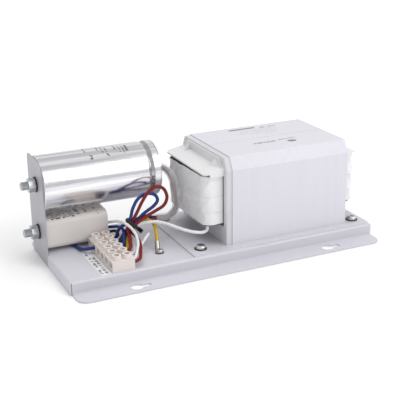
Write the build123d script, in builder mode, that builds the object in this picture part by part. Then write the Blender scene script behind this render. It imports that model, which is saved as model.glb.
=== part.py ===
"""Control gear tray for a discharge grow lamp: ballast, capacitor, ignitor and terminal strip on one tray.

Millimetres, +Z up, +X along the tray towards the ballast, origin on the floor under the middle of
everything, measured from the tip of the capacitor's stud to the far end of the tray.
"""
import os
from math import cos, pi, radians, sin, tan

from build123d import *

# ---- tray: a folded hat section with two mounting flanges ----
sheet = 1.2
tray_length = 320.0
tray_width = 120.0
tray_height = 12.0
flange = 21.0
flange_corner_radius = 10.0
bend = 2.0
stud_overhang = 15.0
tray_left = (stud_overhang - tray_length) / 2
tray_right = tray_left + tray_length
tray_middle = (tray_left + tray_right) / 2
end_slit = 0.5

# ---- keyholes in the flanges: the screw head passes the round part, the shank slides to +X ----
keyhole_span = 202.0
keyhole_radius = 6.0
keyhole_slot_radius = 2.75
keyhole_slot_reach = 11.25
keyhole_row = (tray_width + flange) / 2

# ---- upright bracket at the left end ----
bracket_front = 10.5
bracket_top = 101.5
bracket_front_radius = 18.0
bracket_back_radius = 6.0
bracket_foot = 20.0

# ---- capacitor ----
can_radius = 27.5
can_wall = 0.8
can_left = tray_left + sheet + 0.3
can_right = -34.5
can_y = 33.0
can_z = 76.3
can_groove = -44.5
can_groove_depth = 1.6

# ---- ignitor ----
ignitor_right = -89.5
ignitor_front = 13.5
ignitor_back = 56.5
ignitor_bottom = 15.5
ignitor_top = 45.5
ignitor_edge = 6.0
ignitor_wall = 2.0
ignitor_stud_y = 35.0
ignitor_stud_z = 28.0

# ---- M8 studs, nuts and toothed washers at the bracket ----
stud_radius = 3.95
nut_flats = 13.0
nut_height = 6.5
washer_radius = 7.4
washer_thickness = 1.6

# ---- ballast ----
plate_left = -30.0
plate_right = 165.5
plate_half_width = 57.5
plate_thickness = 1.5
plate_top = tray_height + plate_thickness
plate_screw_xs = (-17.5, 154.0)
plate_screw_y = 44.0
cover_left = 14.3
cover_right = 142.5
ballast_y = 2.0
ballast_half_width = 51.0
ballast_top = 100.5
shoulder_y = 6.2
shoulder_z = 12.2
cover_sheet = 1.0
core_left = 8.3
core_right = 136.5
coil_bottom = 33.0
coil_top = 84.0
coil_half_width = 43.0
coil_overhang = 19.8
coil_corner = 9.0
leg_half_width = 23.0
tape = 0.8

# ---- terminal strip ----
pole_pitch = 11.5
pole_count = 6
strip_left = -111.0
strip_right = -89.0
strip_front = -57.0
strip_body_top = 22.6
tower_top = 27.0
tower_radius = 4.2
tower_spread = 5.0
entry_z = 18.0
entry_radius = 2.6
tube_radius = 3.2
tube_bore = 2.2
tube_inset = 2.2
clamp_shank = 1.9
clamp_hole = 1.96
clamp_head = 2.3
clamp_bore = 2.65
clamp_foot = 17.2
clamp_head_z = 22.4
clamp_head_height = 2.0
wire_entry_depth = 2.2
web_top = 17.0
web_hole_radius = 1.45
web_bore = 2.2

# ---- earth screw ----
earth_x = -55.0
earth_y = -32.2

os.makedirs("parts", exist_ok=True)


def save(part, label):
    """Label a finished piece and write it."""
    part.label = label
    export_step(part, f"parts/{label}.step")


# ------------------------------------------------------------------ tray
half = tray_width / 2
hole_spots = [(x, side * plate_screw_y) for x in plate_screw_xs for side in (-1, 1)]
strip_x = (strip_left + strip_right) / 2
pole_ys = [strip_front + pole_pitch * (i + 0.5) for i in range(pole_count)]
web_ys = [strip_front + pole_pitch * (i + 1) for i in range(pole_count - 1)]
strip_screw_ys = (web_ys[0], web_ys[-1])

with BuildPart() as tray:
    wall_start = tray_left + sheet + end_slit
    with BuildSketch(Plane.YZ.offset(wall_start)) as section:
        with BuildLine():
            Polyline(
                (0, tray_height), (half, tray_height), (half, sheet), (half + flange, sheet),
                (half + flange, 0), (half - sheet, 0), (half - sheet, tray_height - sheet),
                (0, tray_height - sheet), close=True,
            )
        make_face()
        outer = [v for v in section.vertices() if abs(v.X - half) < 0.01 and v.Y > sheet + 1]
        foot = [v for v in section.vertices() if abs(v.X - half + sheet) < 0.01 and v.Y < 1]
        fillet(outer + foot, bend)
        inner = [v for v in section.vertices() if abs(v.X - half + sheet) < 0.01 and v.Y > bend + 1]
        inner += [v for v in section.vertices() if abs(v.X - half) < 0.01 and abs(v.Y - sheet) < 0.01]
        fillet(inner, bend - sheet)
        mirror(about=Plane.YZ)
    extrude(amount=tray_length - 2 * (sheet + end_slit))
    corners = tray.edges().filter_by(Axis.Z).filter_by(lambda e: abs(e.center().Y) > half + flange - 0.1)
    fillet(corners, flange_corner_radius)
    # end flaps, folded down; the left one stops at the bracket
    flap_half = half - 1.0
    for end, low, high in ((tray_left, -flap_half, bracket_front - 0.3), (tray_right, -flap_half, flap_half)):
        inward = 1 if end == tray_left else -1
        with BuildSketch(Plane.XZ.offset(-high)) as flap:
            with BuildLine():
                Polyline(
                    (end + inward * 2 * bend, tray_height), (end, tray_height), (end, 0),
                    (end + inward * sheet, 0), (end + inward * sheet, tray_height - sheet),
                    (end + inward * 2 * bend, tray_height - sheet), close=True,
                )
            make_face()
            crest = [v for v in flap.vertices() if abs(v.X - end) < 0.01 and v.Y > 1]
            fillet(crest, bend)
        extrude(amount=high - low)
    # keyholes
    with BuildSketch(Plane.XY):
        for x in (tray_middle - keyhole_span / 2, tray_middle + keyhole_span / 2):
            for side in (-1, 1):
                with Locations((x, side * keyhole_row)):
                    Circle(keyhole_radius)
                with Locations((x + keyhole_slot_reach / 2, side * keyhole_row)):
                    SlotCenterToCenter(keyhole_slot_reach, 2 * keyhole_slot_radius)
    extrude(amount=sheet, mode=Mode.SUBTRACT)
    # screw holes in the top
    with BuildSketch(Plane.XY.offset(tray_height - sheet)):
        with Locations(*hole_spots):
            Circle(2.7)
        with Locations((earth_x, earth_y)):
            Circle(2.2)
        with Locations(*[(strip_x, y) for y in strip_screw_ys]):
            Circle(web_hole_radius)
    extrude(amount=sheet, mode=Mode.SUBTRACT)
save(tray.part, "tray")

# ------------------------------------------------------------------ capacitor bracket
with BuildPart() as bracket:
    with BuildSketch(Plane.YZ.offset(tray_left)) as face:
        with BuildLine():
            Polyline(
                (bracket_front, 0), (half, 0), (half, bracket_top), (bracket_front, bracket_top), close=True,
            )
        make_face()
        fillet([v for v in face.vertices() if v.Y > 1 and v.X < half - 1], bracket_front_radius)
        fillet([v for v in face.vertices() if v.Y > 1 and v.X > half - 1], bracket_back_radius)
        with Locations((can_y, can_z), (ignitor_stud_y, ignitor_stud_z)):
            Circle(stud_radius + 0.35, mode=Mode.SUBTRACT)
    extrude(amount=sheet)
    # lanced foot, spot welded under the tray's top
    with BuildSketch(Plane.XY.offset(tray_height - 2 * sheet)):
        with Locations((tray_left + (sheet + bracket_foot) / 2, (bracket_front + half) / 2)):
            Rectangle(sheet + bracket_foot, half - bracket_front - 8)
    extrude(amount=sheet)
save(bracket.part, "capacitor_bracket")

# ------------------------------------------------------------------ ballast base plate
with BuildPart() as base_plate:
    with BuildSketch(Plane.XY.offset(tray_height)) as outline:
        with Locations(((plate_left + plate_right) / 2, 0)):
            RectangleRounded(plate_right - plate_left, 2 * plate_half_width, 1.5)
        with Locations(*hole_spots):
            Circle(2.7, mode=Mode.SUBTRACT)
    extrude(amount=plate_thickness)
save(base_plate.part, "ballast_plate")


# ------------------------------------------------------------------ ballast core and covers
def shoulder_profile(inset, left_y, right_y):
    """Closed outline in Y and Z: upright sides and sloping shoulders, cut off at left_y and right_y."""
    low = ballast_y - ballast_half_width + inset
    high = ballast_y + ballast_half_width - inset
    top = ballast_top - inset
    slope_shift = inset * 0.4
    points = [
        (low, plate_top), (low, ballast_top - shoulder_z), (low + shoulder_y - slope_shift, top),
        (high - shoulder_y + slope_shift, top), (high, ballast_top - shoulder_z), (high, plate_top),
    ]
    return [(min(max(y, left_y), right_y), z) for y, z in points]


with BuildPart() as core:
    with BuildSketch(Plane.YZ.offset(core_left)) as stack:
        with BuildLine():
            Polyline(*shoulder_profile(cover_sheet, -200, 200), close=True)
        make_face()
        window = coil_half_width - leg_half_width + 1.0
        window_shift = (coil_half_width + leg_half_width + 1.0) / 2
        with Locations(*[(ballast_y + side * window_shift, (coil_bottom + coil_top) / 2) for side in (-1, 1)]):
            Rectangle(window, coil_top - coil_bottom + 4, mode=Mode.SUBTRACT)
    extrude(amount=core_right - core_left)
save(core.part, "ballast_core")

seam_gap = 0.2
for label, side in (("ballast_cover_front", -1), ("ballast_cover_back", 1)):
    with BuildPart() as cover:
        edge = ballast_y + side * ballast_half_width
        inner_edge = edge - side * cover_sheet
        ridge = edge - side * shoulder_y
        seam = ballast_y + side * seam_gap
        with BuildSketch(Plane.YZ.offset(cover_left)):
            with BuildLine():
                Polyline(
                    (seam, ballast_top), (ridge, ballast_top), (edge, ballast_top - shoulder_z),
                    (edge, plate_top), (inner_edge, plate_top), (inner_edge, ballast_top - shoulder_z),
                    (ridge - side * cover_sheet * 0.6, ballast_top - cover_sheet),
                    (seam, ballast_top - cover_sheet), close=True,
                )
            make_face()
        extrude(amount=cover_right - cover_left)
        long_edges = cover.edges().filter_by(Axis.X)
        bends = [e for e in long_edges if abs(e.center().Y - ridge) < 0.01 and e.center().Z > ballast_top - 0.1]
        bends += [e for e in long_edges if abs(e.center().Y - edge) < 0.01 and e.center().Z > plate_top + 1]
        fillet(bends, 1.0)
    save(cover.part, label)

# ------------------------------------------------------------------ coil, tape and end insulators
coil_left = core_left - coil_overhang
coil_right = core_right + coil_overhang
coil_middle = (coil_left + coil_right) / 2


def coil_ring(grow):
    """Outline of the coil seen from above, larger all round by grow."""
    with Locations((coil_middle, ballast_y)):
        RectangleRounded(
            coil_right - coil_left + 2 * grow, 2 * (coil_half_width + grow), coil_corner + grow,
        )


with BuildPart() as coil:
    with BuildSketch(Plane.XY.offset(coil_bottom)):
        coil_ring(-tape)
        with Locations((coil_middle, ballast_y)):
            Rectangle(core_right - core_left, 2 * leg_half_width, mode=Mode.SUBTRACT)
    extrude(amount=coil_top - coil_bottom)
save(coil.part, "ballast_coil")

for label, start, end in (
    ("coil_tape_left", coil_left - 1, core_left),
    ("coil_tape_right", core_right, coil_right + 1),
):
    with BuildPart() as wrap:
        with BuildSketch(Plane.XY.offset(coil_bottom + 1.5)) as band:
            coil_ring(0)
            with Locations((coil_middle, ballast_y)):
                RectangleRounded(
                    coil_right - coil_left - 2 * tape, 2 * (coil_half_width - tape), coil_corner - tape,
                    mode=Mode.SUBTRACT,
                )
            with Locations(((start + end) / 2, ballast_y)):
                Rectangle(end - start, 4 * coil_half_width, mode=Mode.INTERSECT)
        extrude(amount=coil_top - coil_bottom - 2)
    save(wrap.part, label)

insulator_sheet = 1.4
insulator_half = 45.6
insulator_rise = 5.0
insulator_reach = coil_overhang + 1.0
wall_height = 13.5
recess_half = 28.0
for label, wall_x, outward in (("end_insulator_left", core_left, -1), ("end_insulator_right", core_right, 1)):
    edge_x = wall_x + outward * insulator_reach
    with BuildPart() as insulator:
        # shelf that slopes down and out over the end turns
        with BuildSketch(Plane.XZ.offset(-(ballast_y + insulator_half))):
            with BuildLine():
                Polyline(
                    (wall_x, coil_top + insulator_rise), (edge_x, coil_top + 0.6),
                    (edge_x, coil_top + 0.6 + insulator_sheet), (wall_x, coil_top + insulator_rise + insulator_sheet),
                    close=True,
                )
            make_face()
        extrude(amount=2 * insulator_half)
        outer_corners = insulator.edges().filter_by(lambda e: abs(e.center().X - edge_x) < 0.3 and e.length < 2)
        fillet(outer_corners, 5.0)
        # turned-down lips along the front and back of the shelf
        for side in (-1, 1):
            lip_y = ballast_y + side * (insulator_half - insulator_sheet / 2)
            with BuildSketch(Plane.XZ.offset(-(lip_y + insulator_sheet / 2))):
                with BuildLine():
                    Polyline(
                        (wall_x, coil_top - 1.5), (edge_x - outward * 6, coil_top - 1.5),
                        (edge_x - outward * 6, coil_top + 2.4), (wall_x, coil_top + insulator_rise + 0.8), close=True,
                    )
                make_face()
            extrude(amount=insulator_sheet)
        # upright wall against the core, and a sloping gusset at each side of the recess
        wall_foot = coil_top + insulator_rise
        with BuildSketch(Plane.YZ.offset(wall_x if outward > 0 else wall_x - insulator_sheet)):
            with BuildLine():
                Polyline(
                    (ballast_y - insulator_half + 2, wall_foot), (ballast_y + insulator_half - 2, wall_foot),
                    (ballast_y + recess_half + 6, wall_foot + wall_height - 4.5),
                    (ballast_y - recess_half - 6, wall_foot + wall_height - 4.5), close=True,
                )
            make_face()
        extrude(amount=insulator_sheet)
        for side in (-1, 1):
            gusset_y = ballast_y + side * recess_half
            with BuildSketch(Plane.XZ.offset(-gusset_y)):
                with BuildLine():
                    Polyline(
                        (wall_x, wall_foot + 0.5), (wall_x + outward * 9, wall_foot - 1.5),
                        (wall_x, wall_foot + wall_height - 4.5), close=True,
                    )
                make_face()
            extrude(amount=-side * 1.4)
            with BuildSketch(Plane.XZ.offset(-gusset_y)) as root:
                with BuildLine():
                    Polyline(
                        (wall_x, wall_foot + 0.5), (wall_x + outward * 9, wall_foot - 1.5),
                        (wall_x, wall_foot + wall_height - 4.5), close=True,
                    )
                make_face()
            with BuildSketch(Plane.XZ.offset(-(gusset_y + side * 13))) as tip:
                with BuildLine():
                    Polyline(
                        (wall_x, wall_foot + 0.5), (wall_x + outward * 2, wall_foot + 0.3),
                        (wall_x, wall_foot + 1.8), close=True,
                    )
                make_face()
            loft()
    save(insulator.part, label)

# ------------------------------------------------------------------ fasteners
def ring_of_teeth(radius, bore, teeth):
    """Toothed lock washer outline: a ring with a notch between each pair of teeth."""
    Circle(radius)
    with PolarLocations(radius, teeth):
        Circle(radius * 0.13, mode=Mode.SUBTRACT)
    Circle(bore, mode=Mode.SUBTRACT)


with BuildPart() as plate_washers:
    with BuildSketch(Plane.XY.offset(plate_top)):
        with Locations(*hole_spots):
            ring_of_teeth(6.0, 2.65, 14)
    extrude(amount=1.0)
save(plate_washers.part, "plate_washers")

with BuildPart() as plate_screws:
    head_base = plate_top + 1.0
    with BuildSketch(Plane.XY.offset(head_base)):
        with Locations(*hole_spots):
            Circle(4.75)
    extrude(amount=3.2)
    rims = plate_screws.edges().filter_by(lambda e: abs(e.center().Z - head_base - 3.2) < 0.01)
    fillet(rims, 1.8)
    with BuildSketch(Plane.XY.offset(head_base + 1.4)):
        with Locations(*hole_spots):
            Rectangle(4.8, 1.1)
            Rectangle(1.1, 4.8)
    extrude(amount=3, mode=Mode.SUBTRACT)
    with BuildSketch(Plane.XY.offset(3.0)):
        with Locations(*hole_spots):
            Circle(2.45)
    extrude(amount=head_base - 3.0)
save(plate_screws.part, "plate_screws")

with BuildPart() as plate_nuts:
    with BuildSketch(Plane.XY.offset(tray_height - sheet - 4.0)):
        with Locations(*hole_spots):
            RegularPolygon(4.0, 6, major_radius=False)
            Circle(2.5, mode=Mode.SUBTRACT)
    extrude(amount=4.0)
save(plate_nuts.part, "plate_nuts")

outside = Plane(origin=(tray_left, 0, 0), x_dir=(0, -1, 0), z_dir=(-1, 0, 0))
for kind, y, z in (("capacitor", can_y, can_z), ("ignitor", ignitor_stud_y, ignitor_stud_z)):
    with BuildPart() as toothed:
        with BuildSketch(outside):
            with Locations((-y, z)):
                ring_of_teeth(washer_radius, stud_radius + 0.3, 16)
        extrude(amount=washer_thickness)
    save(toothed.part, f"{kind}_washer")
    with BuildPart() as hex_nut:
        with BuildSketch(outside.offset(washer_thickness)):
            with Locations((-y, z)):
                RegularPolygon(nut_flats / 2, 6, major_radius=False)
                Circle(stud_radius + 0.03, mode=Mode.SUBTRACT)
        extrude(amount=nut_height)
        with BuildSketch(outside.offset(washer_thickness)):
            with Locations((-y, z)):
                Circle(nut_flats / 2 + 0.35)
        extrude(amount=nut_height, mode=Mode.INTERSECT)
    save(hex_nut.part, f"{kind}_nut")
    with BuildPart() as threaded_stud:
        with BuildSketch(outside.offset(-sheet)):
            with Locations((-y, z)):
                Circle(stud_radius)
        extrude(amount=sheet + stud_overhang)
        tip = threaded_stud.edges().filter_by(lambda e: e.center().X < tray_left - stud_overhang + 0.01)
        chamfer(tip, 0.9)
    save(threaded_stud.part, f"{kind}_stud")

# ------------------------------------------------------------------ capacitor
can_axis = Plane(origin=(0, can_y, can_z), x_dir=(1, 0, 0), z_dir=(0, -1, 0))
can_start = tray_left + sheet
lid_left = -41.4
lid_thickness = 2.4
with BuildPart() as can:
    with BuildSketch(can_axis):
        with BuildLine() as wall:
            Polyline(
                (can_start, 0), (can_start, can_radius), (can_groove - 3, can_radius),
                (can_groove, can_radius - can_groove_depth), (can_groove + 3, can_radius),
                (can_right, can_radius), (can_right, can_radius - can_wall),
                (can_groove + 3.2, can_radius - can_wall), (can_groove, can_radius - can_groove_depth - can_wall),
                (can_groove - 3.2, can_radius - can_wall), (can_start + can_wall, can_radius - can_wall),
                (can_start + can_wall, 0), close=True,
            )
        make_face()
    revolve(axis=Axis((0, can_y, can_z), (1, 0, 0)))
    base_edge = can.edges().filter_by(GeomType.CIRCLE).sort_by(lambda e: e.center().X + e.radius * -0.001)[0]
    fillet(base_edge, 0.75)
save(can.part, "capacitor_can")

roll_start = can_start + can_wall
with BuildPart() as roll:
    with BuildSketch(Plane(origin=(roll_start, can_y, can_z), x_dir=(0, 1, 0), z_dir=(1, 0, 0))):
        Circle(can_radius - can_wall - 0.2)
    extrude(amount=can_groove - 4.0 - roll_start)
save(roll.part, "capacitor_roll")

lead_y = 20.0
lead_z = 80.5
lead_pitch = 3.3
with BuildPart() as lid:
    with BuildSketch(Plane(origin=(lid_left, can_y, can_z), x_dir=(0, 1, 0), z_dir=(1, 0, 0))):
        Circle(can_radius - can_wall - 0.05)
    extrude(amount=lid_thickness)
    with BuildSketch(Plane(origin=(lid_left, can_y, can_z), x_dir=(0, 1, 0), z_dir=(1, 0, 0))):
        with Locations((lead_y - can_y, lead_z - can_z)):
            Circle(5.0)
    extrude(amount=lid_thickness + 1.0)
save(lid.part, "capacitor_lid")
lid_face = lid_left + lid_thickness + 1.0

# ------------------------------------------------------------------ ignitor
with BuildPart() as ignitor:
    middle_y = (ignitor_front + ignitor_back) / 2
    middle_z = (ignitor_bottom + ignitor_top) / 2
    size_y = ignitor_back - ignitor_front
    size_z = ignitor_top - ignitor_bottom
    with BuildSketch(Plane(origin=(can_start, middle_y, middle_z), x_dir=(0, 1, 0), z_dir=(1, 0, 0))):
        RectangleRounded(size_y, size_z, ignitor_edge)
    extrude(amount=ignitor_right - can_start)
    with BuildSketch(Plane(origin=(can_start + ignitor_wall, middle_y, middle_z), x_dir=(0, 1, 0), z_dir=(1, 0, 0))):
        RectangleRounded(size_y - 2 * ignitor_wall, size_z - 2 * ignitor_wall, ignitor_edge - ignitor_wall)
    extrude(amount=200, mode=Mode.SUBTRACT)
save(ignitor.part, "ignitor_case")

potting_face = ignitor_right - 1.5
with BuildPart() as potting:
    with BuildSketch(Plane(origin=(can_start + ignitor_wall, middle_y, middle_z), x_dir=(0, 1, 0), z_dir=(1, 0, 0))):
        RectangleRounded(size_y - 2 * ignitor_wall, size_z - 2 * ignitor_wall, ignitor_edge - ignitor_wall)
    extrude(amount=potting_face - can_start - ignitor_wall)
save(potting.part, "ignitor_potting")

# ------------------------------------------------------------------ terminal strip
tower_xs = (strip_x - tower_spread, strip_x + tower_spread)
tower_spots = [(x, y) for y in pole_ys for x in tower_xs]
entry_half = lead_pitch / 2 + 0.15 + 1.8
strip_length = strip_right - strip_left
with BuildPart() as strip:
    pole_width = pole_pitch - 1.4
    with BuildSketch(Plane.XY.offset(tray_height)):
        with Locations(*[(strip_x, y) for y in pole_ys]):
            RectangleRounded(strip_length, pole_width, 0.8)
    extrude(amount=strip_body_top - tray_height)
    with BuildSketch(Plane.XY.offset(tray_height)):
        with Locations((strip_x, (pole_ys[0] + pole_ys[-1]) / 2)):
            Rectangle(strip_length - 3, pole_ys[-1] - pole_ys[0])
    extrude(amount=web_top - tray_height)
    with BuildSketch(Plane.XY.offset(tray_height)):
        with Locations(*tower_spots):
            Circle(tower_radius)
    extrude(amount=tower_top - tray_height)
    # round pocket and hole for a fixing screw at each boundary between poles
    with BuildSketch(Plane.XY.offset(web_top)):
        with Locations(*[(strip_x, y) for y in web_ys]):
            Circle(web_bore)
    extrude(amount=20, mode=Mode.SUBTRACT)
    with BuildSketch(Plane.XY.offset(tray_height)):
        with Locations(*[(strip_x, y) for y in web_ys]):
            Circle(web_hole_radius)
    extrude(amount=20, mode=Mode.SUBTRACT)
    # bore over each clamping screw
    with BuildSketch(Plane.XY.offset(entry_z)):
        with Locations(*tower_spots):
            Circle(clamp_bore)
    extrude(amount=20, mode=Mode.SUBTRACT)
    # a tube runs through each pole, with a wide mouth for two wires at both ends
    with BuildSketch(Plane.YZ.offset(strip_left)):
        with Locations(*[(y, entry_z) for y in pole_ys]):
            Circle(tube_radius + 0.03)
    extrude(amount=strip_length, mode=Mode.SUBTRACT)
    for mouth in (strip_left, strip_right - tube_inset):
        with BuildSketch(Plane.YZ.offset(mouth)):
            with Locations(*[(y, entry_z) for y in pole_ys]):
                SlotOverall(2 * entry_half, 4.4)
        extrude(amount=tube_inset, mode=Mode.SUBTRACT)
save(strip.part, "terminal_block")

tube_ends = (strip_left + tube_inset, strip_right - tube_inset)
with BuildPart() as tubes:
    with BuildSketch(Plane.YZ.offset(tube_ends[0])):
        with Locations(*[(y, entry_z) for y in pole_ys]):
            Circle(tube_radius)
            Circle(tube_bore, mode=Mode.SUBTRACT)
    extrude(amount=tube_ends[1] - tube_ends[0])
    with BuildSketch(Plane.XY.offset(entry_z)):
        with Locations(*tower_spots):
            Circle(clamp_hole)
    extrude(amount=5, mode=Mode.SUBTRACT)
save(tubes.part, "terminal_tubes")

for number, (x, y) in enumerate(tower_spots, 1):
    with BuildPart() as clamp:
        with BuildSketch(Plane.XY.offset(clamp_foot)):
            with Locations((x, y)):
                Circle(clamp_shank)
        extrude(amount=clamp_head_z - clamp_foot)
        with BuildSketch(Plane.XY.offset(clamp_head_z)):
            with Locations((x, y)):
                Circle(clamp_head)
        extrude(amount=clamp_head_height)
        with BuildSketch(Plane.XY.offset(clamp_head_z + clamp_head_height - 0.9)):
            with Locations((x, y)):
                Rectangle(6, 0.8, rotation=35 * number)
        extrude(amount=2, mode=Mode.SUBTRACT)
    save(clamp.part, f"clamp_screw_{number}")

with BuildPart() as strip_screws:
    with BuildSketch(Plane.XY.offset(web_top)):
        with Locations(*[(strip_x, y) for y in strip_screw_ys]):
            Circle(2.1)
            Rectangle(2.4, 0.6, mode=Mode.SUBTRACT)
    extrude(amount=1.6)
    with BuildSketch(Plane.XY.offset(7.0)):
        with Locations(*[(strip_x, y) for y in strip_screw_ys]):
            Circle(1.42)
    extrude(amount=web_top - 7.0 + 0.9)
save(strip_screws.part, "block_screws")

with BuildPart() as sticker:
    with BuildSketch(Plane.XY.offset(tray_height)):
        with Locations((-117, -27)):
            RectangleRounded(10, 60, 0.5)
    extrude(amount=0.15)
save(sticker.part, "tray_label")

# ------------------------------------------------------------------ earth point
lug_thickness = 0.8
barrel_foot = Vector(earth_x + 1.0, earth_y + 7.6, tray_height + 2.2)
barrel_along = Vector(0.14, 0.5, 0.85).normalized()
barrel_length = 6.5
with BuildPart() as lug:
    with BuildSketch(Plane.XY.offset(tray_height)):
        with Locations((earth_x, earth_y)):
            Circle(4.4)
        with Locations((earth_x + 0.6, earth_y + 4.6)):
            Rectangle(3.8, 7.6)
        with Locations((earth_x, earth_y)):
            Circle(2.1, mode=Mode.SUBTRACT)
    extrude(amount=lug_thickness)
    with BuildSketch(Plane(origin=barrel_foot - barrel_along * 1.2, z_dir=barrel_along)):
        Circle(2.35)
    extrude(amount=barrel_length + 1.2)
    with BuildSketch(Plane(origin=barrel_foot + barrel_along * 1.0, z_dir=barrel_along)):
        Circle(1.66)
    extrude(amount=barrel_length, mode=Mode.SUBTRACT)
    with BuildSketch(Plane.XY.offset(tray_height - 10)):
        with Locations((earth_x, earth_y)):
            Rectangle(30, 30)
    extrude(amount=10, mode=Mode.SUBTRACT)
save(lug.part, "earth_lug")

with BuildPart() as earth_star:
    with BuildSketch(Plane.XY.offset(tray_height + lug_thickness)):
        with Locations((earth_x, earth_y)):
            ring_of_teeth(3.9, 2.1, 10)
    extrude(amount=0.7)
save(earth_star.part, "earth_washer")

with BuildPart() as earth_screw:
    earth_head = tray_height + lug_thickness + 0.7
    with BuildSketch(Plane.XY.offset(earth_head)):
        with Locations((earth_x, earth_y)):
            Circle(3.5)
    extrude(amount=2.5)
    dome = earth_screw.edges().filter_by(lambda e: abs(e.center().Z - earth_head - 2.5) < 0.01)
    fillet(dome, 1.3)
    with BuildSketch(Plane.XY.offset(earth_head + 1.2)):
        with Locations((earth_x, earth_y)):
            Rectangle(3.4, 0.9)
            Rectangle(0.9, 3.4)
    extrude(amount=3, mode=Mode.SUBTRACT)
    with BuildSketch(Plane.XY.offset(5.5)):
        with Locations((earth_x, earth_y)):
            Circle(1.95)
    extrude(amount=earth_head - 5.5)
save(earth_screw.part, "earth_screw")

with BuildPart() as earth_nut:
    with BuildSketch(Plane.XY.offset(tray_height - sheet - 3.2)):
        with Locations((earth_x, earth_y)):
            RegularPolygon(3.5, 6, major_radius=False)
            Circle(2.0, mode=Mode.SUBTRACT)
    extrude(amount=3.2)
save(earth_nut.part, "earth_nut")

# ------------------------------------------------------------------ wires
tie_centre = Vector(-72.1, -6.0, 35.9)
tie_along = Vector(1, 0, 1).normalized()
tie_down = Vector(1, 0, -1).normalized()
tie_pitch = 3.3


def in_tie(column, row, reach):
    """A point of the bundle: column counts down and to the right, row counts to the back."""
    at = tie_centre + tie_down * (column * tie_pitch) + Vector(0, row * tie_pitch, 0) + tie_along * reach
    return (at.X, at.Y, at.Z)


def through_tie(column, row, first):
    """The two ends of the straight run inside the cable tie; first is -1 to enter from the lower left."""
    return [in_tie(column, row, 4.0 * first), in_tie(column, row, -4.0 * first)]


def wire(label, diameter, points):
    """Sweep a round section along the rounded route and write it."""
    corners = [Vector(*p) for p in points]
    radii = []
    for before, here, after in zip(corners, corners[1:], corners[2:]):
        into = here - before
        out_of = after - here
        turn = radians(into.get_angle(out_of))
        radii.append(0.45 * min(into.length, out_of.length) / tan(turn / 2))
    with BuildPart() as cable:
        with BuildLine():
            path = FilletPolyline(*points, radius=radii)
        with BuildSketch(Plane(origin=path @ 0, z_dir=path % 0)):
            Circle(diameter / 2)
        sweep(path=path)
    ratio = cable.part.volume / (pi * diameter**2 / 4 * path.length)
    print(label, "least radius", round(min(radii), 1), "length", round(path.length), "volume", round(ratio, 3))
    save(cable.part, label)


def pole_end(number, side, order):
    """Last two points of a wire on the front (-1) or back (1) half of a pole's mouth; order 1 goes in, -1 out."""
    y = pole_ys[number - 1] + side * 1.8
    return [(strip_right + 1.6, y, entry_z), (strip_right - tube_inset + 0.1, y, entry_z)][::order]


blue = 3.2
thin = 2.8
wire("red_loop_wire", blue, [
    *pole_end(3, -1, -1), (-82.4, -28.2, 21.2), (-79, -17.5, 27.5), (-78.4, -9.9, 32.0),
    *through_tie(-0.5, 0, -1),
    (-66.9, -7.5, 47.1), (-62.9, -9.6, 57), (-55.7, -10, 67.2), (-47.3, -10, 71.9), (-39.2, -10, 67.6),
    (-35.8, -9.6, 57.9), (-39.3, -9.3, 50), (-49.8, -9.3, 45.6), (-60, -9.4, 41.6),
    *through_tie(0.5, -1, 1),
    (-75.4, -12.6, 30.2), (-72.6, -18.5, 27), (-72.6, -28, 23.6), (-77, -40, 20.6), (-81.9, -50.6, 18.4),
    *pole_end(1, -1, 1),
])
wire("blue_loop_wire", blue, [
    *pole_end(6, -1, -1), (-84.6, 3.2, 22), (-84.9, 0.5, 27.5), (-83.3, -3.7, 33.5),
    *through_tie(-1.5, 0, -1),
    (-71.6, -6.2, 49.6), (-66, -6, 59.9), (-56.7, -6, 64.4), (-47.4, -6, 61.9), (-44, -6, 55.2),
    (-48.9, -6, 49.9), (-59.4, -6.1, 44.5),
    *through_tie(0.5, 0, 1),
    (-79.4, -6.1, 27.3), (-83.1, -6.6, 20.9), *pole_end(5, -1, 1),
])
wire("ballast_lead", blue, [
    (-6.5, -36.5, coil_bottom), (-6.5, -36.5, 28.4), (-12.8, -38.4, 27.2), (-22.8, -36.8, 29.2),
    (-33, -29.5, 32.2), (-43.7, -20.3, 36.3), (-52, -15.8, 38), (-60, -12.9, 37.3),
    *through_tie(1.5, -1, 1),
    (-75.2, -9.8, 25.5), (-77.5, -18, 22), (-78, -28, 20.5), (-81.5, -35.2, 18.9), *pole_end(2, 1, 1),
])
wire("earth_wire", blue, [
    *pole_end(3, 1, -1), (-83.0, -22.8, 19.6), (-80.3, -13, 22.5), (-76.3, -6.8, 24.2),
    *through_tie(1.5, 0, -1),
    (-62.5, -6.2, 37.6), (-56.8, -7, 38.3), (-52.5, -10.5, 35.6), (-51.5, -15.5, 31.2),
    tuple(barrel_foot + barrel_along * 8.5), tuple(barrel_foot + barrel_along * 1.2),
])
# middle line of the capacitor's pair of leads; the last value turns the pair, in degrees
lead_route = [
    (lid_face, lead_y, lead_z, 0), (-33.5, lead_y, lead_z, 25), (-26.2, 14.5, 78.6, 45), (-22.9, 7.5, 70.5, 55),
    (-21.7, 5, 54.3, 32), (-20.5, 4, 40.5, 5), (-29, 2, 33.4, -10), (-46.2, -1, 35.3, -10),
]


def beside(side):
    """The pair's route moved half a pitch to one side."""
    shift = side * lead_pitch / 2
    return [(x + shift * sin(radians(t)), y + shift * cos(radians(t)), z) for x, y, z, t in lead_route]


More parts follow.
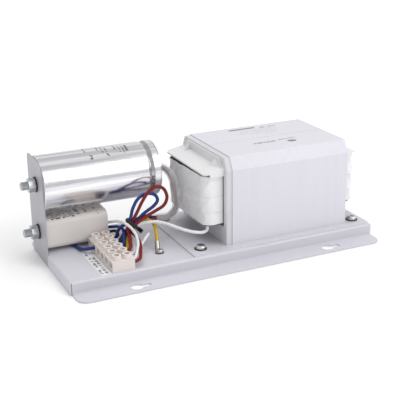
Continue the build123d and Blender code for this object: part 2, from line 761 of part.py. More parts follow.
wire("capacitor_lead_a", blue, [
    *beside(1), (-57, -0.3, 40.0), *through_tie(0.5, 1, 1),
    (-79.5, -2.2, 25.8), (-83, -3, 20.6), *pole_end(5, 1, 1),
])
wire("capacitor_lead_b", blue, [
    *beside(-1), (-57, -3.2, 35.4), *through_tie(1.5, 1, 1),
    (-76.5, -3.4, 22.5), (-80, -7.5, 16.8), (-83.5, -13.2, 17.0), *pole_end(4, 1, 1),
])
exit_y = 17.4
wire("ignitor_lead_white", thin, [
    (potting_face, exit_y, 32), (-87, exit_y, 32), (-82.6, 3, 37.5), (-81, -11, 39.7), (-76.6, -15, 35.8),
    (-74.1, -21, 30.8), (-75.7, -31, 25.6), (-80.6, -39.8, 21.8), (-84.0, -45.8, 19.6), *pole_end(1, 1, 1),
])
wire("ignitor_lead_blue", thin, [
    (potting_face, exit_y, 27), (-87, exit_y, 27), (-80.5, 7, 30), (-80.2, -3, 30.6), (-82, -10, 28.6),
    (-84.2, -15.4, 23.0), *pole_end(4, -1, 1),
])
wire("ignitor_lead_brown", thin, [
    (potting_face, exit_y, 22), (-87, exit_y, 22), (-81.5, 14, 23.6), (-80.8, 8.6, 20.6), (-84.3, 8.2, 18.2),
    *pole_end(6, 1, 1),
])
wire("spare_lead", thin, [
    *pole_end(2, -1, -1), (-83.2, -40.6, 17.0), (-77.5, -35.5, 16.6), (-71.5, -25, 19.8), (-60.5, -20, 29),
])
wire("supply_wire", blue, [
    (strip_left + tube_inset - 0.1, pole_ys[4], entry_z), (-113.5, pole_ys[4], entry_z), (-118.5, -1, 16.2),
    (-121, 6.5, 14.0), (-122, 16, 13.75), (-124.5, 26, 13.7),
])

# translucent sleeve over the capacitor's two leads
sleeve_bore = 3.6
sleeve_radius = 4.15
with BuildPart() as sleeve:
    inner = [(x, y, z) for x, y, z, _ in lead_route[1:]]
    bends = []
    corners = [Vector(*p) for p in inner]
    for before, here, after in zip(corners, corners[1:], corners[2:]):
        turn = radians((here - before).get_angle(after - here))
        bends.append(0.45 * min((here - before).length, (after - here).length) / tan(turn / 2))
    with BuildLine():
        sleeve_path = FilletPolyline(*inner, radius=bends)
    with BuildSketch(Plane(origin=sleeve_path @ 0, z_dir=sleeve_path % 0)):
        Circle(sleeve_radius)
        Circle(sleeve_bore, mode=Mode.SUBTRACT)
    sweep(path=sleeve_path)
save(sleeve.part, "lead_sleeve")

# ------------------------------------------------------------------ cable tie round the bundle
bundle = [(-1.5, 0), (-0.5, 0), (0.5, 0), (1.5, 0), (0.5, -1), (1.5, -1), (0.5, 1), (1.5, 1)]
with BuildPart() as tie:
    across = Plane(origin=tie_centre - tie_along * 1.6, x_dir=tie_down, z_dir=tie_along)
    with BuildSketch(across) as band:
        with Locations(*[(c * tie_pitch, r * tie_pitch * across.y_dir.Y) for c, r in bundle]):
            Circle(blue / 2 + 1.35)
        make_hull()
    extrude(amount=3.2)
    with BuildSketch(across) as cut:
        with Locations(*[(c * tie_pitch, r * tie_pitch * across.y_dir.Y) for c, r in bundle]):
            Circle(blue / 2 + 0.05)
        make_hull()
    extrude(amount=3.2, mode=Mode.SUBTRACT)
    # lock head and the trimmed tail
    with BuildSketch(across.offset(-0.4)):
        with Locations((1.5 * tie_pitch + 4.4, 0)):
            RectangleRounded(3.6, 5.2, 0.8)
        with Locations((1.5 * tie_pitch + 5.6, -across.y_dir.Y * 4.0)):
            Rectangle(1.2, 4.5)
    extrude(amount=4.0)
save(tie.part, "cable_tie")
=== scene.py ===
import math

import bpy
from mathutils import Matrix, Vector, noise


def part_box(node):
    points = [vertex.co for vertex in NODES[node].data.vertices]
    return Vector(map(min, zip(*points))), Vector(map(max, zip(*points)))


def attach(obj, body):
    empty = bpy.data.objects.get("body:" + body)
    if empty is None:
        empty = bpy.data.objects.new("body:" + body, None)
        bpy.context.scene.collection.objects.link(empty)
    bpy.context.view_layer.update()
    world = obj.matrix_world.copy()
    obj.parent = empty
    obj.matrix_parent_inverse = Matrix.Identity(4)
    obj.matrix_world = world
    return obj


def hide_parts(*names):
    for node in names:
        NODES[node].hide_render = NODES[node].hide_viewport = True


bl_info = {
    "name": "Discharge Lamp Gear Tray",
    "version": (1, 0, 0),
    "blender": (4, 5, 0),
    "location": "View3D > Sidebar > Gear Tray",
    "description": "Finishes a gear tray with its ballast, capacitor, ignitor, terminal strip and wiring",
    "category": "Object",
}

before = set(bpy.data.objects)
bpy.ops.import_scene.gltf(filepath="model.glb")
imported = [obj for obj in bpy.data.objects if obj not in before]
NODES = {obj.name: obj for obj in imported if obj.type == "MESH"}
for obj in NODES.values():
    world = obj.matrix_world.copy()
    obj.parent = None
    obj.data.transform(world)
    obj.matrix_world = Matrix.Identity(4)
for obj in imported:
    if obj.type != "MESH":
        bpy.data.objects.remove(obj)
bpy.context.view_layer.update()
MM = 0.001
# brightness of the sky for surfaces, for reflections and straight into the camera
DIFFUSE_SKY = 0.51
GLOSSY_SKY = 0.8
SEEN_SKY = 1.1


# ---------------------------------------------------------------- sizes and colours
class GearColours(bpy.types.PropertyGroup):
    """Finishes that a user would change."""

    paint: bpy.props.FloatVectorProperty(
        name="Powder coat", description="White powder coat on the sheet metal", subtype="COLOR", size=3,
        default=(0.665, 0.660, 0.715), min=0, max=1,
    )
    core: bpy.props.FloatVectorProperty(
        name="Laminations", description="Lacquered core edges", subtype="COLOR", size=3,
        default=(0.66, 0.66, 0.69), min=0, max=1,
    )
    tape: bpy.props.FloatVectorProperty(
        name="Winding tape", description="White tape round the coil", subtype="COLOR", size=3,
        default=(0.87, 0.87, 0.88), min=0, max=1,
    )
    moulding: bpy.props.FloatVectorProperty(
        name="End insulators", description="White moulded plastic", subtype="COLOR", size=3,
        default=(0.79, 0.79, 0.80), min=0, max=1,
    )
    ignitor: bpy.props.FloatVectorProperty(
        name="Ignitor case", description="Off-white moulded case", subtype="COLOR", size=3,
        default=(0.72, 0.68, 0.66), min=0, max=1,
    )
    terminals: bpy.props.FloatVectorProperty(
        name="Terminal strip", description="Beige terminal moulding", subtype="COLOR", size=3,
        default=(0.81, 0.74, 0.71), min=0, max=1,
    )
    red: bpy.props.FloatVectorProperty(
        name="Red wire", description="Red insulation", subtype="COLOR", size=3,
        default=(0.19, 0.003, 0.004), min=0, max=1,
    )
    blue: bpy.props.FloatVectorProperty(
        name="Blue wire", description="Blue insulation", subtype="COLOR", size=3,
        default=(0.012, 0.032, 0.19), min=0, max=1,
    )
    yellow: bpy.props.FloatVectorProperty(
        name="Earth wire", description="Yellow insulation", subtype="COLOR", size=3,
        default=(0.62, 0.40, 0.03), min=0, max=1,
    )
    ink: bpy.props.FloatVectorProperty(
        name="Printing ink", description="Ink of the printed marks", subtype="COLOR", size=3,
        default=(0.05, 0.05, 0.055), min=0, max=1,
    )


class GearSizes(bpy.types.PropertyGroup):
    """Fine sizes that show in the finishes."""

    lamination: bpy.props.FloatProperty(
        name="Lamination", description="Thickness of one core sheet", default=0.5 * MM, min=0, unit="LENGTH",
    )
    coarse_pitch: bpy.props.FloatProperty(
        name="Stud thread", description="Thread pitch of the studs", default=1.25 * MM, min=0, unit="LENGTH",
    )
    fine_pitch: bpy.props.FloatProperty(
        name="Screw thread", description="Thread pitch of the screws", default=0.8 * MM, min=0, unit="LENGTH",
    )
    coil_corner: bpy.props.FloatProperty(
        name="Coil corner", description="Corner radius of the coil seen from above", default=9 * MM, min=0,
        unit="LENGTH",
    )
    fold: bpy.props.FloatProperty(
        name="Tape folds", description="How far the winding tape stands off the coil in its folds",
        default=2.6 * MM, min=0, unit="LENGTH",
    )
    tape_dip: bpy.props.FloatProperty(
        name="Tape dip", description="How far the tape's top edge falls short at its loose end",
        default=4.5 * MM, min=0, unit="LENGTH",
    )
    peel: bpy.props.FloatProperty(
        name="Orange peel", description="Depth of the texture of the powder coat", default=0.02 * MM, min=0,
        precision=6, unit="LENGTH",
    )


# ---------------------------------------------------------------- shader maths
class Value:
    """A node socket that takes part in arithmetic; each operator adds a Math node."""

    def __init__(self, paint, socket):
        self.paint = paint
        self.socket = socket

    def _math(self, operation, first, second=None, clamp=False):
        inputs = {0: first} if second is None else {0: first, 1: second}
        return self.paint.node("ShaderNodeMath", {"operation": operation, "use_clamp": clamp}, inputs)

    def __add__(self, other):
        return self._math("ADD", self, other)

    def __radd__(self, other):
        return self._math("ADD", other, self)

    def __sub__(self, other):
        return self._math("SUBTRACT", self, other)

    def __rsub__(self, other):
        return self._math("SUBTRACT", other, self)

    def __mul__(self, other):
        return self._math("MULTIPLY", self, other)

    def __rmul__(self, other):
        return self._math("MULTIPLY", other, self)

    def __truediv__(self, other):
        return self._math("DIVIDE", self, other)

    def __pow__(self, other):
        return self._math("POWER", self, other)

    def __mod__(self, other):
        return self._math("FLOORED_MODULO", self, other)

    def __abs__(self):
        return self._math("ABSOLUTE", self)

    def __gt__(self, other):
        return self._math("GREATER_THAN", self, other)

    def __lt__(self, other):
        return self._math("LESS_THAN", self, other)

    def floor(self):
        return self._math("FLOOR", self)

    def sine(self):
        return self._math("SINE", self)

    def clamped(self):
        return self._math("ADD", self, 0.0, clamp=True)


class Graph:
    """Adds nodes to a tree: settings first, then the values or links of their sockets."""

    def __init__(self, tree):
        self.tree = tree

    def fill(self, socket, value):
        if isinstance(value, Value):
            self.tree.links.new(value.socket, socket)
        elif hasattr(value, "__len__") and len(value) == 3 and len(getattr(socket, "default_value", ())) == 4:
            socket.default_value = (*value, 1.0)
        else:
            socket.default_value = value

    def node(self, kind, settings=None, inputs=None, output=0):
        """Add any node and give back one of its outputs."""
        made = self.tree.nodes.new(kind)
        for key, value in (settings or {}).items():
            setattr(made, key, value)
        for key, value in (inputs or {}).items():
            self.fill(made.inputs[key], value)
        return None if output is None else Value(self, made.outputs[output])


class Paint(Graph):
    """One procedural material: constants on the shader, variation only where the export can bake it."""

    def __init__(self, name, **constants):
        self.material = bpy.data.materials.new(name)
        self.material.use_nodes = True
        super().__init__(self.material.node_tree)
        self.tree.nodes.clear()
        surface = self.node("ShaderNodeBsdfPrincipled")
        self.shader = surface.socket.node
        self.node("ShaderNodeOutputMaterial", None, {"Surface": surface}, output=None)
        self.set(**constants)
        self._xyz = None

    def set(self, **sockets):
        """Set or link sockets of the shader; Base_Color stands for Base Color."""
        for key, value in sockets.items():
            self.fill(self.shader.inputs[key.replace("_", " ")], value)

    def colour(self):
        """The colour that is linked to the shader so far."""
        return Value(self, self.shader.inputs["Base Color"].links[0].from_socket)

    def point(self):
        return self.node("ShaderNodeTexCoord", output="Object")

    def xyz(self):
        """Place on the object in millimetres, as three values."""
        if self._xyz is None:
            split = self.node("ShaderNodeSeparateXYZ", None, {0: self.point()}).socket.node
            self._xyz = tuple(Value(self, split.outputs[i]) * 1000.0 for i in range(3))
        return self._xyz

    def noise(self, scale, detail=2.0, roughness=0.5):
        """Soft noise from 0 to 1; scale is features per metre."""
        inputs = {"Vector": self.point(), "Scale": scale, "Detail": detail, "Roughness": roughness}
        return self.node("ShaderNodeTexNoise", None, inputs)

    def cells(self, scale):
        """Distance from the middle of the nearest of many scattered cells."""
        return self.node("ShaderNodeTexVoronoi", None, {"Vector": self.point(), "Scale": scale})

    def chance(self, *values):
        """A different number from 0 to 1 for each whole value."""
        place = self.node("ShaderNodeCombineXYZ", None, dict(enumerate(values)))
        return self.node("ShaderNodeTexWhiteNoise", {"noise_dimensions": "3D"}, {"Vector": place})

    def mix(self, factor, first, second):
        """Blend of two colours."""
        inputs = {0: factor, 6: first, 7: second}
        return self.node("ShaderNodeMix", {"data_type": "RGBA"}, inputs, output=2)

    def bump(self, height, distance, strength=1.0):
        inputs = {"Height": height, "Distance": distance, "Strength": strength}
        self.set(Normal=self.node("ShaderNodeBump", None, inputs))

    def box(self, u, v, cu, cv, hu, hv, soft=0.15):
        """1 inside a rectangle round (cu, cv), falling to 0 over soft."""
        across = (hu - abs(u - cu)) / soft
        along = (hv - abs(v - cv)) / soft
        return across.clamped() * along.clamped()

    def disc(self, u, v, cu, cv, ru, rv, soft=0.15):
        """1 inside an ellipse round (cu, cv), falling to 0 at its edge."""
        reach = ((u - cu) / ru) ** 2.0 + ((v - cv) / rv) ** 2.0
        return ((1.0 - reach) / soft).clamped()

    def marks(self, u, v, rows, pitch=1.1):
        """Rows of small illegible print; each row is (start, end, line, height)."""
        total = None
        for index, (start, end, line, height) in enumerate(rows):
            cell = (u / pitch).floor()
            stroke = self.chance(cell, float(index), 3.0) > 0.14
            part = ((v - line) / (height / 2.2)).floor()
            gap = self.chance(cell, part, float(index) + 9.0) > 0.20
            blank = (u / pitch) % 1.0 > 0.14
            inside = self.box(u, v, (start + end) / 2, line, (end - start) / 2, height / 2)
            row = inside * stroke * gap * blank
            total = row if total is None else total + row
        return total.clamped()


def colours():
    return bpy.context.scene.gear_colours


def sizes():
    return bpy.context.scene.gear_sizes


def shade(colour, factor):
    return tuple(min(1.0, c * factor) for c in colour)


def dress(material, *nodes):
    """Give CAD nodes a finish."""
    for name in nodes:
        mesh = NODES[name].data
        mesh.materials.clear()
        mesh.materials.append(material)


# ---------------------------------------------------------------- finishes
def powder_coat(name, colour, roughness=0.42):
    paint = Paint(name, Coat_Weight=0.15, Coat_Roughness=0.25, Specular_IOR_Level=0.45)
    drift = paint.noise(9.0, 2.0)
    fine = paint.noise(900.0, 1.0)
    speck = (paint.cells(420.0) < 0.06) * (paint.noise(60.0) > 0.62) * 0.25
    tint = paint.mix(drift, shade(colour, 0.965), shade(colour, 1.03))
    paint.set(Base_Color=paint.mix(speck, tint, shade(colour, 0.55)), Roughness=roughness + drift * 0.08)
    paint.bump(fine, sizes().peel)
    return paint


def bright_metal(name, colour, roughness, scratch=0.06):
    """Plated or rolled metal with fine handling marks."""
    paint = Paint(name, Metallic=1.0)
    smudge = paint.noise(140.0, 3.0)
    paint.set(
        Base_Color=paint.mix(smudge, shade(colour, 0.82), shade(colour, 1.08)),
        Roughness=roughness + smudge * scratch,
    )
    paint.bump(paint.noise(1500.0, 2.0), 0.004 * MM)
    return paint


def threaded(name, colour, axis, pitch, start):
    """Plated screw or stud: ridges along one axis below start, with painted shade darkening the grooves."""
    paint = Paint(name, Metallic=1.0)
    along = paint.xyz()[axis] * (2 * math.pi * MM / pitch)
    ridge = along.sine() * 0.5 + 0.5
    zone = ((start - paint.xyz()[axis]) * 4.0).clamped()
    dirt = paint.noise(300.0, 2.0)
    # Painted shade: the grooves between the thread ridges are darkened
    groove_shade = (1.0 - ridge) * zone
    paint.set(
        Base_Color=paint.mix(groove_shade * 0.75, colour, shade(colour, 0.28)), Roughness=0.28 + dirt * 0.15,
    )
    paint.bump(ridge * zone, 0.35 * MM)
    return paint


def moulded(name, colour, roughness=0.5, grain=0.012):
    """Moulded plastic: faint flow and grain."""
    paint = Paint(name, Specular_IOR_Level=0.4)
    flow = paint.noise(25.0, 3.0)
    tint = paint.mix(flow, shade(colour, 0.95), shade(colour, 1.04))
    paint.set(Base_Color=tint, Roughness=roughness + flow * 0.1)
    paint.bump(paint.noise(1200.0, 2.0), grain * MM)
    return paint


def insulation(name, colour, roughness=0.33):
    """Extruded wire insulation: slight streaks and dust."""
    paint = Paint(name, Coat_Weight=0.08, Coat_Roughness=0.2, Specular_IOR_Level=0.35)
    streak = paint.noise(400.0, 2.0)
    dust = (paint.noise(180.0, 4.0) - 0.60).clamped() * 0.5
    base = paint.mix(streak, shade(colour, 0.8), shade(colour, 1.2))
    paint.set(Base_Color=paint.mix(dust, base, (0.45, 0.44, 0.43)), Roughness=roughness + streak * 0.12)
    paint.bump(streak, 0.03 * MM)
    return paint


# ---------------------------------------------------------------- operators
class GEAR_OT_sheet_metal(bpy.types.Operator):
    """Powder coat the tray, the bracket and the base plate; the bracket's coat is painted darker as painted
    shade
    """

    bl_idname = "gear.sheet_metal"
    bl_label = "Sheet Metal"

    def execute(self, context):
        body = colours().paint
        dress(powder_coat("tray_powder_coat", shade(body, 0.97)).material, "tray")
        # Painted shade: the bracket gets the same white coat at 0.64 of its brightness, standing for the
        # shade on its face turned from the light
        dress(powder_coat("bracket_powder_coat_painted_shade", shade(body, 0.64)).material, "capacitor_bracket")
        dress(powder_coat("plate_powder_coat", shade(body, 1.0)).material, "ballast_plate")
        return {"FINISHED"}


class GEAR_OT_ballast(bpy.types.Operator):
    """Finish the ballast: laminated core, taped coil, end insulators and printed covers"""

    bl_idname = "gear.ballast"
    bl_label = "Ballast"

    def execute(self, context):
        self.core()
        self.coil()
        self.covers()
        return {"FINISHED"}

    def core(self):
        paint = Paint("stacked_laminations", Specular_IOR_Level=0.4)
        x = paint.xyz()[0]
        sheet = (x * (MM / sizes().lamination)).floor()
        tone = paint.chance(sheet, 1.0, 1.0)
        seam = (x * (MM / sizes().lamination)) % 1.0 > 0.8
        rust = (paint.noise(70.0, 4.0) - 0.6).clamped() * 0.5
        base = paint.mix(tone, shade(colours().core, 0.9), shade(colours().core, 1.12))
        grimy = paint.mix(rust, base, (0.20, 0.15, 0.11))
        paint.set(
            Base_Color=paint.mix(seam * 0.3, grimy, shade(colours().core, 0.5)), Roughness=0.5 + tone * 0.1,
        )
        paint.bump(tone + paint.noise(200.0, 2.0), 0.05 * MM)
        dress(paint.material, "ballast_core")

    def coil(self):
        copper = Paint("enamelled_copper", Metallic=0.9)
        z = copper.xyz()[2]
        turn = ((z * (2 * math.pi / 1.4)).sine() * 0.5 + 0.5) * 0.6 + copper.noise(90.0) * 0.4
        enamel = copper.mix(turn, (0.05, 0.035, 0.03), (0.16, 0.09, 0.05))
        copper.set(Base_Color=enamel, Roughness=0.35 + turn * 0.1)
        copper.bump(turn, 0.4 * MM)
        dress(copper.material, "ballast_coil")

        tape = Paint("woven_winding_tape", Specular_IOR_Level=0.25)
        x, y, z = tape.xyz()
        weave = ((x + y) * (2 * math.pi / 0.7)).sine() * (z * (2 * math.pi / 0.7)).sine() * 0.5 + 0.5
        lap = ((z + tape.noise(30.0) * 2.0) / 16.0) % 1.0
        step = (lap > 0.955) * 0.35
        sag = tape.noise(22.0, 2.0)
        base = tape.mix(sag, shade(colours().tape, 0.94), shade(colours().tape, 1.04))
        tape.set(
            Base_Color=tape.mix(step * 0.35, base, shade(colours().tape, 0.7)), Roughness=0.55 + weave * 0.1,
        )
        tape.bump(weave * 0.05 + sag * 1.2 + step, 0.5 * MM)
        for name, outward in (("coil_tape_left", -1), ("coil_tape_right", 1)):
            self.wrap(name, outward, tape.material)

        shelf = moulded("white_moulding", colours().moulding, 0.42)
        dress(shelf.material, "end_insulator_left", "end_insulator_right")

    def outline(self, low, high, outward):
        """Plan of the tape from the front of the core round to the back: place, direction it faces, run."""
        radius = sizes().coil_corner
        inner, outer = (high.x, low.x) if outward < 0 else (low.x, high.x)
        bend = outer - outward * radius
        step = 1.1 * MM
        plan = []
        count = round(abs(bend - inner) / step)
        plan += [(inner + (bend - inner) * i / count, low.y, 0, -1) for i in range(count)]
        arc = round(radius * math.pi / 2 / step)
        for i in range(arc):
            turn = math.pi / 2 * i / arc
            facing = (outward * math.sin(turn), -math.cos(turn))
            plan.append((bend + radius * facing[0], low.y + radius + radius * facing[1], *facing))
        flat = high.y - low.y - 2 * radius
        across = round(flat / step)
        plan += [(outer, low.y + radius + flat * i / across, outward, 0) for i in range(across)]
        for i in range(arc):
            turn = math.pi / 2 * i / arc
            facing = (outward * math.cos(turn), math.sin(turn))
            plan.append((bend + radius * facing[0], high.y - radius + radius * facing[1], *facing))
        plan += [(bend + (inner - bend) * i / count, high.y, 0, 1) for i in range(count + 1)]
        return plan

    def wrap(self, node, outward, material):
        """Loose, creased turns of tape in place of the plain band round one end of the coil."""
        low, high = (Vector(corner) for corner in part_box(node))
        plan = self.outline(low, high, outward)
        rows = 46
        corners = []
        for i, (x, y, nx, ny) in enumerate(plan):
            share = i / (len(plan) - 1)
            loose = min(1.0, 8 * share, 8 * (1 - share))
            dip = sizes().tape_dip * (0.15 + 0.85 * max(0.0, share - 0.3) / 0.7) * loose
            top = high.z - dip * (0.75 + 0.25 * noise.noise(Vector((share * 9, outward, 0))))
            for j in range(rows):
                z = low.z + (top - low.z) * j / (rows - 1)
                broad = noise.noise(Vector((share * 5, z * 26, outward)))
                slanted = Vector((share * 11 + z * 60, z * 45 - share * 3, outward + 4))
                crease = max(0.0, 1 - abs(noise.noise(slanted)) * 3)
                billow = max(0.0, broad + 0.3)
                off = sizes().fold * loose * (0.12 + 0.4 * billow + 0.35 * crease ** 2)
                corners.append((x + nx * off, y + ny * off, z))
        faces = []
        for i in range(len(plan) - 1):
            for j in range(rows - 1):
                a, b = i * rows + j, (i + 1) * rows + j
                face = (a, b, b + 1, a + 1)
                faces.append(face if outward > 0 else face[::-1])
        mesh = bpy.data.meshes.new(f"{node}_wrapped")
        mesh.from_pydata(corners, [], faces)
        mesh.shade_smooth()
        mesh.materials.append(material)
        piece = bpy.data.objects.new(f"{node}_wrapped", mesh)
        bpy.context.scene.collection.objects.link(piece)
        cloth = piece.modifiers.new("thickness", "SOLIDIFY")
        cloth.thickness = 0.6 * MM
        cloth.offset = -1
        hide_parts(node)
        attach(piece, "gear_tray")

    def covers(self):
        paint = powder_coat("cover_powder_coat", shade(colours().paint, 1.06))
        x, y, z = paint.xyz()
        top = (z - 99.6).clamped()
        ink = paint.box(x, y, 69.0, 37.6, 15.0, 2.1)
        ink = ink + paint.marks(x, y, [(85, 107, 35.5, 3.0)], 2.2)
        pale = paint.marks(x, y, [
            (62, 104, 30.5, 1.8), (60, 104, 27.0, 1.8), (60, 96, 23.5, 1.8),
            (58, 102, 20.0, 1.8), (66, 100, 16.0, 1.8), (80, 94, 11.5, 1.8),
        ], 1.3)
        ink = ink + paint.marks(x, y, [(53, 79, -15.5, 3.6)], 2.2)
        ink = ink + paint.marks(x, y, [(83, 104, -13.5, 2.2)], 1.7)
        ink = ink + paint.disc(x, y, 94.0, -22.0, 5.2, 3.4)
        printed = paint.mix((ink * top).clamped() * 0.85, paint.colour(), colours().ink)
        paint.set(Base_Color=paint.mix(pale * top * 0.3, printed, colours().ink))
        self.drawn_lines(paint)
        dress(paint.material, "ballast_cover_front", "ballast_cover_back")

    def drawn_lines(self, paint):
        """Faint upright streaks left by rolling, under the coat."""
        stretched = paint.node("ShaderNodeVectorMath", {"operation": "MULTIPLY"},
                               {0: paint.point(), 1: (260.0, 260.0, 9.0)})
        streak = paint.node("ShaderNodeTexNoise", None, {"Vector": stretched, "Scale": 1.0, "Detail": 3.0})
        line = (streak - 0.5).clamped() * 0.45
        paint.set(Base_Color=paint.mix(line, paint.colour(), shade(colours().paint, 0.72)))


class GEAR_OT_capacitor(bpy.types.Operator):
    """Finish the capacitor: rolled aluminium can with print, lid and its sleeve"""

    bl_idname = "gear.capacitor"
    bl_label = "Capacitor"

    def execute(self, context):
        paint = Paint("rolled_aluminium", Metallic=1.0)
        x, y, z = paint.xyz()
        drawn = paint.node(
            "ShaderNodeTexNoise", {"noise_dimensions": "3D"},
            {"Vector": paint.node("ShaderNodeVectorMath", {"operation": "MULTIPLY"},
                                  {0: paint.point(), 1: (7.0, 240.0, 240.0)}), "Scale": 1.0, "Detail": 3.0},
        )
        smudge = paint.noise(35.0, 3.0)
        front_top = ((z - 84.0) * 0.5).clamped()
        print_rows = paint.marks(y, x, [
            (20, 31, -64.0, 2.6), (18, 30, -67.5, 1.7), (20, 30, -71.0, 1.7), (24, 34, -75.0, 1.7),
            (17, 31, -84.0, 2.6), (22, 33, -88.0, 1.7), (26, 34, -92.0, 1.7), (16, 21, -101.0, 3.0),
            (26, 36, -105.0, 1.7),
        ], 1.5) * front_top
        rolled = ((drawn - 0.40) * 4.5).clamped()
        bright = paint.mix(smudge, (0.86, 0.86, 0.88), (0.95, 0.95, 0.96))
        metal = paint.mix(rolled, (0.62, 0.61, 0.65), bright)
        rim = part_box("capacitor_can")[1][0] * 1000.0
        # Painted shade: the rolled bead and the rim of the can are darkened where shade falls in their
        # creases
        crease_shade = (2.2 - abs(x - (rim - 8.5))).clamped() * 0.7 + (1.6 - abs(x - rim)).clamped() * 0.55
        metal = paint.mix(crease_shade.clamped(), metal, (0.26, 0.26, 0.28))
        paint.set(
            Base_Color=paint.mix(print_rows * 0.9, metal, colours().ink),
            Metallic=1.0 - print_rows * 0.9,
            Roughness=0.13 + smudge * 0.14 + print_rows * 0.3,
        )
        paint.bump(drawn * 1.2 + smudge * 3.5, 0.11 * MM)
        dress(paint.material, "capacitor_can")
        dress(moulded("lid_moulding", (0.40, 0.40, 0.39), 0.5).material, "capacitor_lid")
        dress(moulded("film_roll", (0.62, 0.60, 0.52), 0.4).material, "capacitor_roll")
        sleeve = insulation("pale_sleeving", (0.80, 0.83, 0.82), 0.14)
        sleeve.set(Alpha=0.17 + sleeve.noise(120.0, 2.0) * 0.14)
        dress(sleeve.material, "lead_sleeve")
        return {"FINISHED"}


class GEAR_OT_ignitor(bpy.types.Operator):
    """Finish the ignitor: moulded case with print, potted end"""

    bl_idname = "gear.ignitor"
    bl_label = "Ignitor"

    def execute(self, context):
        paint = moulded("ignitor_moulding", colours().ignitor, 0.4)
        x, y, z = paint.xyz()
        top = ((z - 43.0) * 0.8).clamped()
        lines = [(-147, -121, 17.0 + 3.3 * i, 2.0) for i in range(6)]
        blocks = [(18, 35, -117.0, 3.6), (19, 31, -109.0, 2.4), (15, 19, -99.0, 2.4), (25, 29, -99.0, 2.4)]
        print_rows = (paint.marks(x, y, lines, 2.3) + paint.marks(y, x, blocks, 2.0)).clamped() * top
        paint.set(Base_Color=paint.mix(print_rows * 0.95, paint.colour(), colours().ink))
        dress(paint.material, "ignitor_case")
        dress(moulded("potting", (0.34, 0.33, 0.32), 0.6, 0.06).material, "ignitor_potting")
        return {"FINISHED"}


class GEAR_OT_terminals(bpy.types.Operator):
    """Finish the terminal strip, its tubes, clamp screws and the sticker beside it"""

    bl_idname = "gear.terminals"
    bl_label = "Terminal Strip"

    def execute(self, context):
        strip = moulded("terminal_moulding", colours().terminals, 0.5, 0.02)
        dress(strip.material, "terminal_block")
        dress(bright_metal("nickel_tubes", (0.62, 0.58, 0.48), 0.3).material, "terminal_tubes")
        screw = bright_metal("clamp_plating", (0.55, 0.54, 0.5), 0.3)
        dress(screw.material, *[n for n in NODES if n.startswith("clamp_screw_")], "block_screws")
        paper = Paint("sticker_paper", Specular_IOR_Level=0.3, Roughness=0.45)
        x, y, z = paper.xyz()
        ink = paper.marks(y, x, [(-55, -42, -119.8, 2.6), (-38, -12, -119.4, 2.8), (-9, 0, -119.4, 2.6),
                                 (-55, -40, -115.6, 2.6), (-36, -14, -115.4, 2.8)], 2.0)
        fibre = paper.noise(300.0, 3.0)
        sheet = paper.mix(fibre, (0.80, 0.80, 0.82), (0.86, 0.86, 0.88))
        paper.set(Base_Color=paper.mix(ink * 0.8, sheet, colours().ink))
        paper.bump(fibre, 0.01 * MM)
        dress(paper.material, "tray_label")
        return {"FINISHED"}


class GEAR_OT_fasteners(bpy.types.Operator):
    """Plate the studs, nuts, washers and screws"""

    bl_idname = "gear.fasteners"
    bl_label = "Fasteners"

    def execute(self, context):
        zinc = (0.60, 0.62, 0.64)
        studs = threaded("stud_plating", zinc, 0, sizes().coarse_pitch, -150.0)
        dress(studs.material, "capacitor_stud", "ignitor_stud")
        nuts = bright_metal("nut_plating", zinc, 0.24, 0.12)
        dress(nuts.material, "capacitor_nut", "ignitor_nut", "plate_nuts", "earth_nut")
        plate_screw = threaded("plate_screw_plating", (0.66, 0.66, 0.67), 2, sizes().fine_pitch, 13.0)
        dress(plate_screw.material, "plate_screws")
        earth_screw = threaded("earth_screw_plating", (0.60, 0.60, 0.58), 2, sizes().fine_pitch, 12.5)
        dress(earth_screw.material, "earth_screw")
        dark = bright_metal("washer_spring_steel", (0.09, 0.085, 0.08), 0.35)
        dress(dark.material, "plate_washers", "capacitor_washer", "ignitor_washer", "earth_washer")
        dress(bright_metal("lug_tin", (0.58, 0.56, 0.52), 0.32).material, "earth_lug")
        return {"FINISHED"}


class GEAR_OT_wiring(bpy.types.Operator):
    """Colour the wires and the cable tie"""

    bl_idname = "gear.wiring"
    bl_label = "Wiring"

    def execute(self, context):
        dress(insulation("red_insulation", colours().red).material, "red_loop_wire", "capacitor_lead_b")
        dress(insulation("blue_insulation", colours().blue).material,
              "blue_loop_wire", "ignitor_lead_blue", "supply_wire", "capacitor_lead_a")
        dress(insulation("white_insulation", (0.78, 0.78, 0.80)).material,
              "ballast_lead", "ignitor_lead_white", "spare_lead")
        dress(insulation("brown_insulation", (0.05, 0.018, 0.008)).material, "ignitor_lead_brown")
        earth = insulation("earth_insulation", colours().yellow)
        dress(earth.material, "earth_wire")
        dress(moulded("tie_nylon", (0.012, 0.012, 0.014), 0.35).material, "cable_tie")
        return {"FINISHED"}


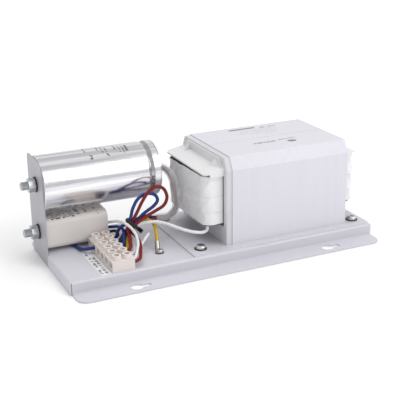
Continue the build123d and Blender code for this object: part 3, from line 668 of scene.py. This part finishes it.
class GEAR_OT_stage(bpy.types.Operator):
    """Lay a pale floor that glows as painted light, hang soft studio lights and place the camera"""

    bl_idname = "gear.stage"
    bl_label = "Stage"

    def execute(self, context):
        self.floor()
        self.lights()
        self.camera()
        return {"FINISHED"}

    def floor(self):
        mesh = bpy.data.meshes.new("studio_floor")
        reach = 6.0
        corners = [(-reach, -reach, 0), (reach, -reach, 0), (reach, reach, 0), (-reach, reach, 0)]
        mesh.from_pydata([Vector(c) for c in corners], [], [(0, 1, 2, 3)])
        floor = bpy.data.objects.new("studio_floor", mesh)
        bpy.context.scene.collection.objects.link(floor)
        floor.location.z = -0.0004
        paint = Paint("floor_paper_painted_glow", Roughness=0.9, Specular_IOR_Level=0.1)
        grain = paint.noise(60.0, 3.0)
        paint.set(Base_Color=paint.mix(grain, (0.93, 0.93, 0.935), (0.95, 0.95, 0.955)))
        x, y, z = paint.xyz()
        # Painted light: the floor glows, faintly near the object and brighter beyond 0.18 m from it, so the
        # far floor reads white
        glow_away_from_object = ((((x * 0.001) ** 2.0 + (y * 0.001) ** 2.0) ** 0.5 - 0.18) * 1.6).clamped()
        paint.set(Emission_Color=paint.mix(glow_away_from_object, (0.06, 0.06, 0.06), (0.5, 0.5, 0.5)), Emission_Strength=1.0)
        mesh.materials.append(paint.material)

    def lights(self):
        world = bpy.data.worlds.new("studio")
        bpy.context.scene.world = world
        world.use_nodes = True
        graph = Graph(world.node_tree)
        level = DIFFUSE_SKY
        for ray, lit in (("Is Glossy Ray", GLOSSY_SKY), ("Is Camera Ray", SEEN_SKY)):
            seen_by = graph.node("ShaderNodeLightPath", output=ray)
            inputs = {"Factor": seen_by, "A": level, "B": lit}
            level = graph.node("ShaderNodeMix", None, inputs, output="Result")
        sky = world.node_tree.nodes["Background"]
        graph.fill(sky.inputs["Color"], (1, 1, 1))
        graph.fill(sky.inputs["Strength"], level)
        for name, place, size, power in (
            ("key_softbox", (0.75, -1.15, 1.15), 1.3, 11.0),
            ("top_softbox", (0.05, 0.2, 1.7), 1.6, 13.5),
        ):
            lamp = bpy.data.lights.new(name, "AREA")
            lamp.size = size
            lamp.energy = power
            light = bpy.data.objects.new(name, lamp)
            bpy.context.scene.collection.objects.link(light)
            light.location = place
            light.visible_glossy = name == "key_softbox"
            light.rotation_euler = (Vector((0, 0, 0.04)) - Vector(place)).to_track_quat("-Z", "Y").to_euler()

    def camera(self):
        yaw = math.radians(24.96)
        pitch = math.radians(19.82)
        roll = math.radians(-0.76)
        ahead = Vector((math.sin(yaw) * math.cos(pitch), math.cos(yaw) * math.cos(pitch), -math.sin(pitch)))
        level = Vector((math.cos(yaw), -math.sin(yaw), 0))
        upright = level.cross(ahead)
        right = level * math.cos(roll) + upright * math.sin(roll)
        up = upright * math.cos(roll) - level * math.sin(roll)
        turn = Matrix((right, up, -ahead)).transposed().to_4x4()
        lens = bpy.data.cameras.new("camera")
        lens.sensor_width = 36
        lens.lens = 82.27
        lens.clip_start = 0.02
        camera = bpy.data.objects.new("camera", lens)
        bpy.context.scene.collection.objects.link(camera)
        camera.matrix_world = Matrix.Translation((-0.3573, -0.7740, 0.3533)) @ turn
        bpy.context.scene.camera = camera
        bpy.context.scene.view_settings.view_transform = "Standard"
        bpy.context.scene.view_settings.look = "None"


STEPS = (
    GEAR_OT_sheet_metal, GEAR_OT_ballast, GEAR_OT_capacitor, GEAR_OT_ignitor, GEAR_OT_terminals,
    GEAR_OT_fasteners, GEAR_OT_wiring, GEAR_OT_stage,
)


class GEAR_PT_panel(bpy.types.Panel):
    """Lists the steps, the sizes and the colours"""

    bl_idname = "GEAR_PT_panel"
    bl_label = "Gear Tray"
    bl_space_type = "VIEW_3D"
    bl_region_type = "UI"
    bl_category = "Gear Tray"

    def draw(self, context):
        for step in STEPS:
            self.layout.operator(step.bl_idname)
        for group in (context.scene.gear_sizes, context.scene.gear_colours):
            for key in group.bl_rna.properties.keys():
                if key not in ("rna_type", "name"):
                    self.layout.prop(group, key)


CLASSES = (GearColours, GearSizes, *STEPS, GEAR_PT_panel)


def register():
    for cls in CLASSES:
        bpy.utils.register_class(cls)
    bpy.types.Scene.gear_colours = bpy.props.PointerProperty(type=GearColours)
    bpy.types.Scene.gear_sizes = bpy.props.PointerProperty(type=GearSizes)


def unregister():
    del bpy.types.Scene.gear_sizes
    del bpy.types.Scene.gear_colours
    for cls in reversed(CLASSES):
        bpy.utils.unregister_class(cls)


def main():
    register()
    for step in STEPS:
        group, name = step.bl_idname.split(".")
        if getattr(getattr(bpy.ops, group), name)() != {"FINISHED"}:
            raise RuntimeError(f"{step.bl_idname} did not finish")


if __name__ == "__main__":
    main()
